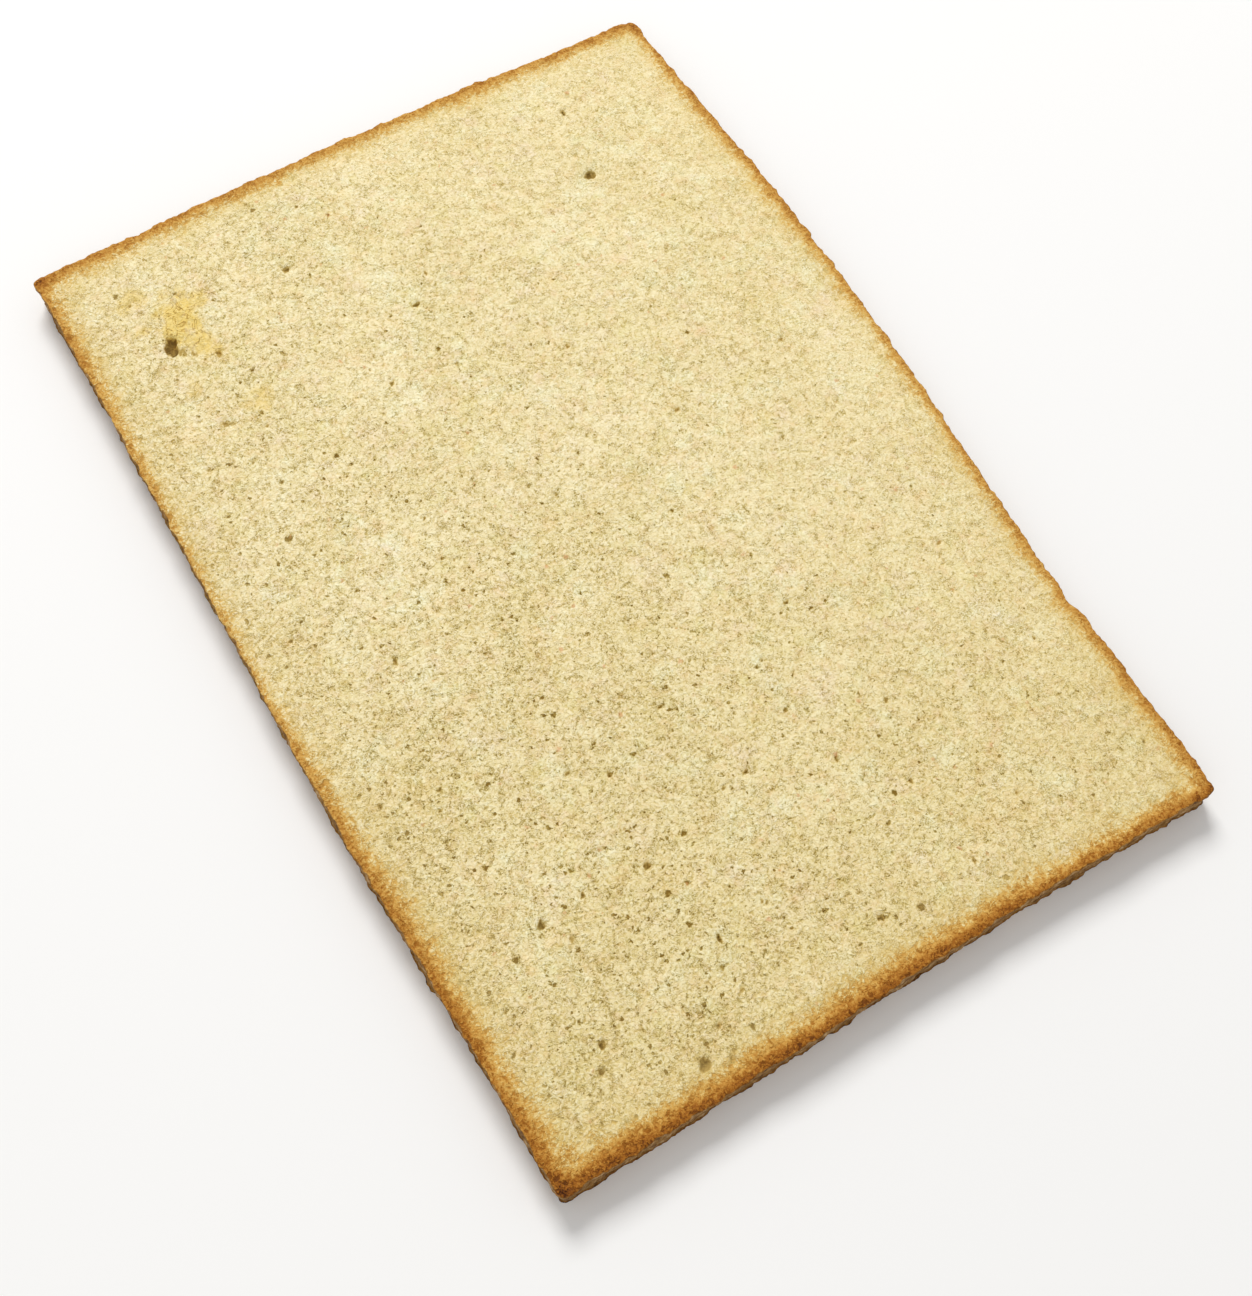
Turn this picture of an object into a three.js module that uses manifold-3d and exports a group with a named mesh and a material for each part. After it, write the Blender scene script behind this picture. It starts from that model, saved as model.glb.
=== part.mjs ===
// Sandwich bread base: one large thin sheet of pale bread, sliced level from a big pan loaf.
// Its two broad faces are cut crumb, open with pores; its four sides keep the browned crust,
// which is cragged and slightly bowed, as the loaf stood in its pan.
// Millimetres, +Z up, lying on its lower face. +Y runs along the long side to the back.
import * as THREE from 'three';
import { mergeVertices } from 'three/addons/utils/BufferGeometryUtils.js';
import Module from 'manifold-3d';

// Plan of the sheet: a rectangle with round corners, drawn out of true as it was baked
const WIDTH = 273.1; // short side, crust to crust, halfway along
const LENGTH = 409; // long side
const CORNER_RADIUS = 3;
const TAPER = 3.6; // how much wider the back short side is than the front one
const LEAN = 3.8; // how far the back end lies to the right of square
const BACK_CROWN = { height: 2.7, centre: 0, reach: 136 }; // bow of the back side
const FRONT_HOLLOW = { depth: 1.9, centre: 38, reach: 110 }; // where the front side draws in
const RIGHT_SWELL = { height: 5.9, centre: 54, reach: 165 }; // long swell of the right side
const RIGHT_NICK = { depth: 1.5, centre: -115, reach: 9 }; // short dent further forward
const LEFT_SWELL = { height: 2.8, centre: -32, reach: 185 };

// The slice
const THICKNESS = 13;
const ARRIS = 0.3; // how far the cut edges of the crust are worn back
const DRAFT = 1; // how much further in the foot of the side lies than its top
const CRUST_WIDTH = 5; // band of the cut face that the baking dried and browned
const RIM_SINK = 0.35; // the crumb just inside the crust lies this much lower
const FACE_WAVES = [ // slow unevenness of the upper cut face
  { height: 0.16, alongX: 95, alongY: 130, phase: 0.4 },
  { height: 0.12, alongX: -61, alongY: 74, phase: 2.1 },
];

// Crags of the crust: waves that run round the sheet, leaning a little as they climb the side
const CRAG_WAVES = [
  { count: 9, height: 0.22, climb: 0.04, phase: 1.3 },
  { count: 23, height: 0.18, climb: -0.1, phase: 4.4 },
  { count: 41, height: 0.16, climb: 0.22, phase: 0.2 },
  { count: 67, height: 0.15, climb: -0.3, phase: 5.1 },
  { count: 97, height: 0.16, climb: 0.45, phase: 2.6 },
];
const CRAG_FADE = 7; // distance from the side over which the crags die out on the face

// Pores in the crumb that are big enough to be cut: flat hollows with an oval mouth
const PORE_SEED = 20;
const UPPER_PORES = 60;
const LOWER_PORES = 20;
const PORE_LENGTH = [1.8, 2.9];
const PORE_ROUNDNESS = [0.6, 0.95]; // width over length
const PORE_DEPTH = [0.35, 0.5]; // depth over length
const PORE_SPACING = 9;
const PORE_MARGIN = 11; // from the sides, where the crumb is dense
const PORE_LIFT = 0.2; // centre of the hollow above the face
const RESTING_PATCH = 30; // radius of the lower face's unbroken middle
const LARGEST_PORES = [ // the few that stand out on the upper face
  { x: 3.5, y: -180.4, length: 3.2, turn: 3 },
  { x: -75, y: -191.9, length: 5, turn: 2.5 },
  { x: -66.5, y: -195.4, length: 2.8, turn: 0.2 },
  { x: -105.5, y: -175.9, length: 3.4, turn: 2.2 },
  { x: -101, y: -168.4, length: 3.6, turn: 1.1 },
  { x: -48, y: -158.4, length: 3.6, turn: 1.1 },
  { x: -27, y: -154.9, length: 2.8, turn: 2.4 },
  { x: -55, y: -123.4, length: 3.2, turn: 2.1 },
  { x: -97, y: -122.9, length: 3.2, turn: 1.3 },
  { x: -7.5, y: -111.4, length: 3.6, turn: 2.9 },
  { x: -48.5, y: -87.9, length: 3, turn: 1.4 },
  { x: -92.5, y: -10.9, length: 3.4, turn: 0.9 },
  { x: -11.5, y: 120.6, length: 2.8, turn: 0.4 },
  { x: 81, y: 141.6, length: 4.6, turn: 0.7 },
  { x: -47.5, y: 161.1, length: 3.2, turn: 0.1 },
  { x: -107.5, y: 174.6, length: 2.8, turn: 2 },
  { x: 87, y: 175.1, length: 3, turn: 1.1 },
];

// Torn spot near the back left corner, where a piece of crumb pulled out of the face, and the
// slit in front of it
const TORN = { x: -97, y: 150.6, clearance: 32 }; // no drawn pore is cut nearer than that
const TORN_HOLLOWS = [
  { x: -102.5, y: 149.8, length: 9.6, width: 5, turn: 1.2, depth: 2.6 },
  { x: -99.8, y: 145.6, length: 5.2, width: 4.4, turn: 0.3, depth: 0.9 },
  { x: -96.5, y: 143.1, length: 4, width: 2.4, turn: 2.2, depth: 0.9 },
  { x: -88.5, y: 138.6, length: 4.6, width: 3.2, turn: 1.7, depth: 1.1 },
  { x: -99, y: 108.1, length: 9.5, width: 2.6, turn: 2.7, depth: 0.8 },
];
const FLAP_SINK = 0.5; // centre of the flap below the face
const TORN_FLAP = { x: -94.5, y: 158.6, length: 21, width: 12, turn: 1, height: 0.45 };

// How finely the surface is divided
const RING_POINTS = 280;
const SIDE_HEIGHTS = [0, ARRIS, 0.35 * THICKNESS, 0.66 * THICKNESS, THICKNESS - ARRIS];
const FACE_INSETS = [ARRIS, 3, 7, 25, 60, 95];
const LOWER_INSET = 7;

const wasm = await Module();
wasm.setup();

// A hump of height 1 at its centre that falls smoothly to 0 at its reach.
function hump(distance, reach) {
  return Math.abs(distance) < reach ? Math.cos((Math.PI / 2) * (distance / reach)) ** 2 : 0;
}

// Moves a point of the true rectangle to where the baked sheet has it.
function outOfTrue(point) {
  const { x, y } = point;
  const rightward = Math.max(x, 0) / (WIDTH / 2);
  const leftward = Math.max(-x, 0) / (WIDTH / 2);
  const backward = Math.max(y, 0) / (LENGTH / 2);
  const forward = Math.max(-y, 0) / (LENGTH / 2);
  const swell = RIGHT_SWELL.height * hump(y - RIGHT_SWELL.centre, RIGHT_SWELL.reach)
    - RIGHT_NICK.depth * hump(y - RIGHT_NICK.centre, RIGHT_NICK.reach);
  const leftSwell = LEFT_SWELL.height * hump(y - LEFT_SWELL.centre, LEFT_SWELL.reach);
  const crown = BACK_CROWN.height * hump(x - BACK_CROWN.centre, BACK_CROWN.reach);
  const hollow = FRONT_HOLLOW.depth * hump(x - FRONT_HOLLOW.centre, FRONT_HOLLOW.reach);
  const wider = (TAPER / WIDTH) * (y / LENGTH);
  return new THREE.Vector2(
    x * (1 + wider) + LEAN * (y / LENGTH) + rightward * swell - leftward * leftSwell,
    y + backward * crown + forward * hollow,
  );
}

// The plan as evenly spaced points, anticlockwise from above.
function planOutline() {
  const right = WIDTH / 2;
  const back = LENGTH / 2;
  const straightX = right - CORNER_RADIUS;
  const straightY = back - CORNER_RADIUS;
  const rectangle = new THREE.Shape();
  rectangle.moveTo(-straightX, -back);
  rectangle.lineTo(straightX, -back);
  rectangle.absarc(straightX, -straightY, CORNER_RADIUS, -Math.PI / 2, 0);
  rectangle.lineTo(right, straightY);
  rectangle.absarc(straightX, straightY, CORNER_RADIUS, 0, Math.PI / 2);
  rectangle.lineTo(-straightX, back);
  rectangle.absarc(-straightX, straightY, CORNER_RADIUS, Math.PI / 2, Math.PI);
  rectangle.lineTo(-right, -straightY);
  rectangle.absarc(-straightX, -straightY, CORNER_RADIUS, Math.PI, 1.5 * Math.PI);
  return rectangle.getSpacedPoints(RING_POINTS).slice(0, RING_POINTS).map(outOfTrue);
}

// How far the crust stands out from the plan, at a share of the way round and a height.
function crag(share, height) {
  return CRAG_WAVES.reduce((sum, wave) => {
    const angle = 2 * Math.PI * wave.count * share + wave.climb * height + wave.phase;
    return sum + wave.height * Math.sin(angle);
  }, 0);
}

// Height of the upper cut face at a point, and at a distance in from the side.
function faceHeight(point, inset) {
  const uneven = FACE_WAVES.reduce((sum, wave) => {
    const angle = 2 * Math.PI * (point.x / wave.alongX + point.y / wave.alongY) + wave.phase;
    return sum + wave.height * Math.sin(angle);
  }, 0);
  const sink = RIM_SINK * hump(inset - CRUST_WIDTH * 1.4, CRUST_WIDTH);
  return THICKNESS + uneven - sink;
}

const outline = planOutline();
const outward = outline.map((point, index) => {
  const next = outline[(index + 1) % RING_POINTS];
  const previous = outline[(index + RING_POINTS - 1) % RING_POINTS];
  return new THREE.Vector2(next.y - previous.y, previous.x - next.x).normalize();
});

// One ring of the side: the plan pushed out by the crags, and drawn in towards the foot.
function sideRing(height) {
  const heightShare = height / THICKNESS;
  const drawnIn = DRAFT * (1 - heightShare) + ARRIS * Math.max(0, 1 - height / ARRIS);
  return outline.map((point, index) => {
    const push = crag(index / RING_POINTS, height) - drawnIn;
    const moved = point.clone().addScaledVector(outward[index], push);
    const lift = heightShare > 0.5 ? heightShare * (faceHeight(moved, 0) - THICKNESS) : 0;
    return new THREE.Vector3(moved.x, moved.y, height + lift);
  });
}

// One ring of a cut face: the plan drawn in towards the sheet's long middle line.
function faceRing(inset, heightAt) {
  const spineReach = (LENGTH - WIDTH) / 2;
  const keep = 1 - inset / (WIDTH / 2);
  const fade = Math.max(0, 1 - inset / CRAG_FADE);
  return outline.map((point, index) => {
    const middle = new THREE.Vector2(0, THREE.MathUtils.clamp(point.y, -spineReach, spineReach));
    const moved = point.clone().sub(middle).multiplyScalar(keep).add(middle);
    moved.addScaledVector(outward[index], fade * crag(index / RING_POINTS, THICKNESS));
    return new THREE.Vector3(moved.x, moved.y, heightAt(moved, inset));
  });
}

// A closed skin through the rings in turn, with its first and last rings filled in.
function skin(rings) {
  const count = rings[0].length;
  const indices = [];
  for (let level = 0; level + 1 < rings.length; level += 1) {
    for (let index = 0; index < count; index += 1) {
      const low = level * count + index;
      const lowNext = level * count + ((index + 1) % count);
      indices.push(low, lowNext, lowNext + count, low, lowNext + count, low + count);
    }
  }
  const last = (rings.length - 1) * count;
  for (const [a, b, c] of THREE.ShapeUtils.triangulateShape(rings[0], [])) {
    indices.push(a, c, b);
  }
  for (const [a, b, c] of THREE.ShapeUtils.triangulateShape(rings.at(-1), [])) {
    indices.push(last + a, last + b, last + c);
  }
  const geometry = new THREE.BufferGeometry().setFromPoints(rings.flat());
  geometry.setIndex(indices);
  return geometry;
}

// A solid for cutting or joining, from a closed geometry.
function toSolid(geometry) {
  const bare = geometry.clone();
  bare.deleteAttribute('normal');
  bare.deleteAttribute('uv');
  const merged = mergeVertices(bare);
  return new wasm.Manifold(new wasm.Mesh({
    numProp: 3,
    vertProperties: new Float32Array(merged.attributes.position.array),
    triVerts: new Uint32Array(merged.index.array),
  }));
}

// The geometry of a finished solid.
function toGeometry(solid) {
  const mesh = solid.getMesh();
  const geometry = new THREE.BufferGeometry();
  geometry.setAttribute('position', new THREE.BufferAttribute(mesh.vertProperties, 3));
  geometry.setIndex(new THREE.BufferAttribute(mesh.triVerts, 1));
  return geometry;
}

// A faceted egg shape with its longest axis turned in the plan.
function lump(length, width, height, turn, x, y, z) {
  const geometry = new THREE.OctahedronGeometry(0.5, 1);
  geometry.scale(length, width, height);
  geometry.rotateZ(turn);
  geometry.translate(x, y, z);
  return toSolid(geometry);
}

// Repeatable draws between two ends.
function draws(seed) {
  let state = seed;
  return ([low, high]) => {
    state = (state * 16807) % 2147483647;
    return low + (high - low) * (state / 2147483647);
  };
}

// Places for pores, apart from each other and from the sides, thicker towards the front left.
function porePlaces(count, draw, allowed) {
  const reachX = WIDTH / 2 - PORE_MARGIN;
  const reachY = LENGTH / 2 - PORE_MARGIN;
  const places = [];
  while (places.length < count) {
    const place = new THREE.Vector2(draw([-reachX, reachX]), draw([-reachY, reachY]));
    const frontLeft = 0.45 - 0.25 * (place.x / reachX) - 0.3 * (place.y / reachY);
    const kept = draw([0, 1]) < frontLeft && allowed(place);
    if (kept && places.every((other) => other.distanceTo(place) > PORE_SPACING)) {
      places.push(place);
    }
  }
  return places;
}

// One oval hollow: side is 1 for the upper face and -1 for the lower one.
function pore(place, length, turn, draw, side) {
  const width = length * draw(PORE_ROUNDNESS);
  const height = 2 * (length * draw(PORE_DEPTH) + PORE_LIFT);
  const face = side > 0 ? faceHeight(place, WIDTH) : 0;
  return lump(length, width, height, turn, place.x, place.y, face + side * PORE_LIFT);
}

// A hollow or flap of the torn spot.
function tornLump(spot, height, z) {
  return lump(spot.length, spot.width, height, spot.turn, spot.x, spot.y, z);
}

function breadSheet() {
  const flat = () => 0;
  const rings = [
    faceRing(LOWER_INSET, flat),
    ...SIDE_HEIGHTS.map(sideRing),
    ...FACE_INSETS.map((inset) => faceRing(inset, faceHeight)),
  ];
  const draw = draws(PORE_SEED);
  const distance = (place, spot) => Math.hypot(place.x - spot.x, place.y - spot.y);
  const clearAbove = (place) => distance(place, TORN) > TORN.clearance
    && [...LARGEST_PORES, ...TORN_HOLLOWS].every((spot) => distance(place, spot) > PORE_SPACING);
  const clearBelow = (place) => place.length() > RESTING_PATCH;
  const drawnPore = (place, side) => pore(place, draw(PORE_LENGTH), draw([0, Math.PI]), draw, side);
  const hollows = [
    ...porePlaces(UPPER_PORES, draw, clearAbove).map((place) => drawnPore(place, 1)),
    ...porePlaces(LOWER_PORES, draw, clearBelow).map((place) => drawnPore(place, -1)),
    ...LARGEST_PORES.map((spot) => pore(spot, spot.length, spot.turn, draw, 1)),
    ...TORN_HOLLOWS.map((spot) => tornLump(spot, 2 * (spot.depth + PORE_LIFT), THICKNESS + PORE_LIFT)),
  ];
  const flap = tornLump(TORN_FLAP, 2 * (TORN_FLAP.height + FLAP_SINK), THICKNESS - FLAP_SINK);
  const cut = hollows.reduce((sum, hollow) => sum.add(hollow));
  const geometry = toGeometry(toSolid(skin(rings)).add(flap).subtract(cut));
  geometry.computeBoundingBox();
  const { min, max } = geometry.boundingBox;
  geometry.translate(-(min.x + max.x) / 2, -(min.y + max.y) / 2, 0);
  geometry.computeVertexNormals();

  const crumb = new THREE.MeshStandardMaterial({ color: '#e6d8a6', roughness: 0.92, metalness: 0 });
  const mesh = new THREE.Mesh(geometry, crumb);
  mesh.name = 'bread_sheet';
  return mesh;
}

const part = new THREE.Group();
part.name = 'sandwich_bread_base';
part.add(breadSheet());

export default part;
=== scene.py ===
import math

import bpy
import numpy as np
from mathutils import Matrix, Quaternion, Vector


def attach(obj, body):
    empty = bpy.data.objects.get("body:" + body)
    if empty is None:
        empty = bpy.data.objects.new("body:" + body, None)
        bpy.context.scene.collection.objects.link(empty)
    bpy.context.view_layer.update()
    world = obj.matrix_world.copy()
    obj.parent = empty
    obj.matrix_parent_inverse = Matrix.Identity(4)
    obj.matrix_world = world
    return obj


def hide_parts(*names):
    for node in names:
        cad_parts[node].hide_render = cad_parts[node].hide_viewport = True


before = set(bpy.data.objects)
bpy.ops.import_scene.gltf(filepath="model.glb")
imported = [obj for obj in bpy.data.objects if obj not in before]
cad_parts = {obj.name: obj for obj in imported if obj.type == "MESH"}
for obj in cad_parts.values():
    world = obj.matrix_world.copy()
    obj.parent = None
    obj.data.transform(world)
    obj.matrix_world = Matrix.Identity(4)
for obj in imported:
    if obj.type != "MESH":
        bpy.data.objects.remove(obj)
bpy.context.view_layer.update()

# ---------------------------------------------------------------------------------------------
# Crust: the browned skin of the loaf, which runs round the sheet's four sides and a few
# millimetres in on both cut faces. It dried and shrank in the pan, so it is cragged and bowed.
# Its finish goes from dark brown at the very edge through gold to the pale crumb.
# ---------------------------------------------------------------------------------------------
MM = 0.001  # sizes are in millimetres unless a comment says metres
WIDTH, LENGTH, THICKNESS = 273.1, 409.0, 13.0
CORNER_RADIUS = 3.0
INNER_RADIUS = 1.0  # least corner radius, further in
TAPER, LEAN = 3.6, 3.8  # the back is that much wider than the front and that far to the right
BACK_CROWN = {"height": 2.7, "centre": 0, "reach": 136}
FRONT_HOLLOW = {"height": 1.9, "centre": 38, "reach": 110}
RIGHT_SWELL = {"height": 5.9, "centre": 54, "reach": 165}
RIGHT_NICK = {"height": -1.5, "centre": -115, "reach": 9}
LEFT_SWELL = {"height": 2.8, "centre": -32, "reach": 185}
ARRIS, DRAFT = 0.3, 1.0
CRUST_WIDTH, RIM_SINK = 5.0, 0.35
FACE_WAVES = [  # height, length along x, length along y, phase
    (0.16, 95, 130, 0.4),
    (0.12, -61, 74, 2.1),
]
CRAG_WAVES = [  # count round the sheet, height, climb per mm of height, phase
    (9, 0.22, 0.04, 1.3),
    (23, 0.18, -0.10, 4.4),
    (41, 0.16, 0.22, 0.2),
    (67, 0.15, -0.30, 5.1),
    (97, 0.16, 0.45, 2.6),
]
FINE_CRAGS = [(0.16, 5.5, 11), (0.13, 2.4, 12)]  # height, wavelength, seed
CRAG_FADE = 7.0  # distance from the side over which the crags die out on the faces
PITS = {"spacing": 3.6, "radii": (0.5, 1.9), "chance": 0.55, "seed": 13}
PIT_SHARE = 0.4  # how much of a bubble's depth is left as a pit in the side
DEEP_PIT = 1.1  # depth of the bubble at which a pit's painted shade is darkest
FACE_PITS = 0.4  # darkness of a pit's painted shade on the cut faces, as a share of one in the side
LUMPS = [(0.05, 9, 21), (0.03, 3.4, 22)]  # height, wavelength, seed
MOUTHS = {"spacing": 4.2, "radii": (0.5, 1.5), "chance": 0.5, "seed": 23}
MOUTH_SHARE = 0.2  # how much of a cut bubble's depth is left as a hollow in the faces
MOUTH_WANDER, MOUTH_WANDER_LENGTH, MOUTH_WANDER_SEED = 0.45, 4.5, 30
COARSENESS, COARSER_LEFT, COARSER_FRONT = 0.5, 0.3, 0.2
COARSE_BY_CRUST, COARSE_REACH = 0.35, 9.0

# Browning of the front, back, left and right side: strength, reach, weak yellowing, and a paler
# stretch, by how much paler it is at its centre, that centre's place and its half length
BROWNING = [
    (0.84, 6.7, 0.08, 0.15, 100, 140),
    (0.59, 5.5, 0.02, 0.03, 10, 40),
    (0.66, 6.0, 0.10, 0.48, 57, 205),
    (0.58, 4.5, 0.06, 0.15, -20, 90),
]
YELLOW_REACH = 20.0
REACH_WAVERS = [(0.06, 26, 5), (0.09, 8, 6), (0.08, 3, 7)]  # share, wavelength, seed
LEAST_WAVER = 0.4
SIDE_BROWNING = 0.12  # how much browner the side is than the cut face's edge
WEAR, WEAR_REACH = 0.16, 1.1  # the brown is rubbed paler right at the cut edge

CRUST_INSET = 6.2  # how far the crust's skin runs in on the cut faces
SEAM_INSET = 5.2  # where the crust's skin and the crumb's face cross
SEAM_DIP = 0.5  # how fast each dives under the other, as a share of the distance squared
RING_STEP = 0.62  # spacing of the points round the sheet
SIDE_ROWS, UPPER_ROWS, LOWER_ROWS = 17, 10, 5  # points up the side and in along each face
INNER_HEIGHTS = (0.67, 0.33)  # of the points down inside the crumb, as shares of the thickness


def hump(distance, reach):
    """A squared cosine: 1 at distance 0, falling smoothly to 0 at the reach."""
    return np.where(np.abs(distance) < reach, np.cos(np.pi / 2 * distance / reach) ** 2, 0.0)


def out_of_true(x, y):
    """The true rectangle's points moved to where the baked sheet has them: it widens and leans
    towards the back, and its sides swell or draw in by squared cosines. Each of these bows
    fades evenly to nothing at the sheet's middle."""
    right_share, left_share = np.maximum(x, 0) / (WIDTH / 2), np.maximum(-x, 0) / (WIDTH / 2)
    back_share, front_share = np.maximum(y, 0) / (LENGTH / 2), np.maximum(-y, 0) / (LENGTH / 2)
    right = sum(s["height"] * hump(y - s["centre"], s["reach"]) for s in (RIGHT_SWELL, RIGHT_NICK))
    left = LEFT_SWELL["height"] * hump(y - LEFT_SWELL["centre"], LEFT_SWELL["reach"])
    crown = BACK_CROWN["height"] * hump(x - BACK_CROWN["centre"], BACK_CROWN["reach"])
    hollow = FRONT_HOLLOW["height"] * hump(x - FRONT_HOLLOW["centre"], FRONT_HOLLOW["reach"])
    tapered = x * (1 + TAPER / WIDTH * y / LENGTH) + LEAN * y / LENGTH
    bowed_x = tapered + right_share * right - left_share * left
    bowed_y = y + back_share * crown + front_share * hollow
    return bowed_x, bowed_y


def round_the_plan(step):
    """Walks round the plan, anticlockwise from the front left. Gives, for each point, its place
    as shares of the half sides that the corner arcs leave straight, the outward direction, and
    the share of the way round."""
    corners = np.array([[-1, -1], [1, -1], [1, 1], [-1, 1]])
    straight = np.array([WIDTH, LENGTH]) / 2 - CORNER_RADIUS
    place, angle = [], []
    for side in range(4):
        start, end = corners[side], corners[(side + 1) % 4]
        facing = (side - 1) * math.pi / 2
        along = np.arange(0, 1, step / np.linalg.norm((end - start) * straight))[:, None]
        turn = np.arange(0, 1, step / (CORNER_RADIUS * math.pi / 2))
        place += [start + along * (end - start), np.repeat(end[None], len(turn), 0)]
        angle += [np.full(len(along), facing), facing + turn * math.pi / 2]
    place, angle = np.concatenate(place), np.concatenate(angle)
    outward = np.stack([np.cos(angle), np.sin(angle)], 1)
    gone = np.cumsum(np.r_[0, np.linalg.norm(np.diff(plan_points(place, outward, 0.0), axis=0), axis=1)])
    return place, outward, gone / (gone[-1] + step)


def plan_points(place, outward, inset):
    """Points of the plan at an inset from its sides: the corner arcs' centres plus the radius
    times the outward direction. The radius shrinks by the inset down to the inner radius."""
    inset = np.broadcast_to(inset, place.shape[:-1])[..., None]
    radius = np.maximum(CORNER_RADIUS - inset, INNER_RADIUS)
    return place * (np.array([WIDTH, LENGTH]) / 2 - inset - radius) + radius * outward


def ripple(points, wavelength, seed, count=28):
    """Smooth unevenness with no direction: the sum of sine waves of about one wavelength that run
    in random directions, scaled to a spread of 1."""
    rng = np.random.default_rng(seed)
    direction = rng.normal(size=(count, points.shape[1]))
    direction /= np.linalg.norm(direction, axis=1)[:, None]
    pitch = 2 * np.pi / (wavelength * rng.uniform(0.7, 1.4, count))
    phase = rng.uniform(0, 2 * np.pi, count)
    total = np.zeros(len(points))
    for n in range(count):
        total += np.sin(points @ direction[n] * pitch[n] + phase[n])
    return total / math.sqrt(count / 2)


def ripples(points, waves):
    """The sum of several kinds of ripple, each with its own height, wavelength and seed."""
    return sum(height * ripple(points, wavelength, seed) for height, wavelength, seed in waves)


def bubbles(points, spacing, radii, chance, seed):
    """Depth of the hollows that gas bubbles leave where a cut goes through them. Each box of a
    grid with that spacing may hold one bubble, of random place and radius. A point inside a
    bubble sinks by the half chord above it: radius times the root of 1 - (distance / radius)^2."""
    table = np.random.default_rng(seed).random((4096, 5))
    box = np.floor(points / spacing).astype(np.int64)
    depth = np.zeros(len(points))
    for step in np.ndindex(3, 3, 3):
        cell = box + np.array(step) - 1
        draw = table[(cell @ np.array([73856093, 19349663, 83492791])) % len(table)]
        centre = (cell + draw[:, :3]) * spacing
        radius = radii[0] + (radii[1] - radii[0]) * draw[:, 3] ** 2.5
        inside = 1 - ((points - centre) ** 2).sum(1) / radius**2
        found = (inside > 0) & (draw[:, 4] < chance)
        depth = np.where(found, np.maximum(depth, radius * np.sqrt(np.maximum(inside, 0))), depth)
    return depth


def side_distance(x, y):
    """Distance in from the nearest side of the true rectangle."""
    return np.minimum(WIDTH / 2 - np.abs(x), LENGTH / 2 - np.abs(y))


def seam_dip(beyond):
    """How far the crust's skin and the crumb's face dive at a distance past the seam: a share of
    that distance squared, and nothing before it."""
    return SEAM_DIP * np.maximum(beyond, 0) ** 2


def face_height(x, y):
    """Height of the upper cut face: the thickness, plus slow sine waves, less a shallow squared
    cosine groove just inside the crust."""
    uneven = sum(h * np.sin(2 * np.pi * (x / lx + y / ly) + phase) for h, lx, ly, phase in FACE_WAVES)
    return THICKNESS + uneven - RIM_SINK * hump(side_distance(x, y) - CRUST_WIDTH * 1.4, CRUST_WIDTH)


def fine_relief(points):
    """Small relief of a cut face: lumps, less the mouths of cut bubbles, whose rims wander."""
    shifts = [ripple(points, MOUTH_WANDER_LENGTH, MOUTH_WANDER_SEED + n) for n in range(3)]
    wander = MOUTH_WANDER * np.stack(shifts, 1)
    return ripples(points, LUMPS) - MOUTH_SHARE * bubbles(points + wander, **MOUTHS)


def browning(x, y, points):
    """How far the crust has browned, 0 to 1. Each side browns by a strength that dies out over its
    own reach in mm, with a weak yellowing that reaches further, and is paler along one stretch.
    The four are combined as chances are, so the corners brown most. The reach wavers, so the
    brown's inner edge is ragged."""
    waver = np.maximum(1 + ripples(points, REACH_WAVERS), LEAST_WAVER)
    kept = np.ones(len(x))
    sides = ((y + LENGTH / 2, x), (LENGTH / 2 - y, x), (x + WIDTH / 2, y), (WIDTH / 2 - x, y))
    for (distance, along), (strength, reach, yellowing, paler, centre, half) in zip(sides, BROWNING):
        inwards = np.maximum(distance, 0) / waver
        share = 1 - paler * hump(along - centre, half)
        kept *= 1 - share * strength * np.exp(-((inwards / (share * reach)) ** 1.5))
        kept *= 1 - yellowing * np.exp(-inwards / YELLOW_REACH)
    return 1 - kept


def coarseness(x, y):
    """How open the crumb is, 0 to 1: it grows evenly towards the front left, and again over the
    last few millimetres before the left crust."""
    by_crust = COARSE_BY_CRUST * np.exp(-np.maximum(x + WIDTH / 2, 0) / COARSE_REACH)
    even = COARSENESS - COARSER_LEFT * x / (WIDTH / 2) - COARSER_FRONT * y / (LENGTH / 2)
    return np.clip(even + by_crust, 0, 1)


def add_mesh(name, vertices, faces, attributes, material):
    """A mesh object at the origin from arrays, in metres, with one float attribute for each name,
    shaded smooth."""
    mesh = bpy.data.meshes.new(name)
    mesh.vertices.add(len(vertices))
    mesh.vertices.foreach_set("co", np.ascontiguousarray(vertices, dtype=np.float32).ravel())
    mesh.loops.add(faces.size)
    mesh.loops.foreach_set("vertex_index", faces.astype(np.int32).ravel())
    mesh.polygons.add(len(faces))
    mesh.polygons.foreach_set("loop_start", np.arange(0, faces.size, faces.shape[1], dtype=np.int32))
    mesh.update(calc_edges=True)
    mesh.polygons.foreach_set("use_smooth", np.ones(len(faces), dtype=bool))
    for key, values in attributes.items():
        layer = mesh.attributes.new(key, "FLOAT", "POINT")
        layer.data.foreach_set("value", values.astype(np.float32))
    mesh.materials.append(material)
    mesh.validate()
    made = bpy.data.objects.new(name, mesh)
    bpy.context.scene.collection.objects.link(made)
    return made


def linear(hex_colour):
    """An sRGB hex colour as linear red, green, blue and alpha."""
    parts = [int(hex_colour[n : n + 2], 16) / 255 for n in (1, 3, 5)]
    return [p / 12.92 if p <= 0.04045 else ((p + 0.055) / 1.055) ** 2.4 for p in parts] + [1.0]


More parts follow.
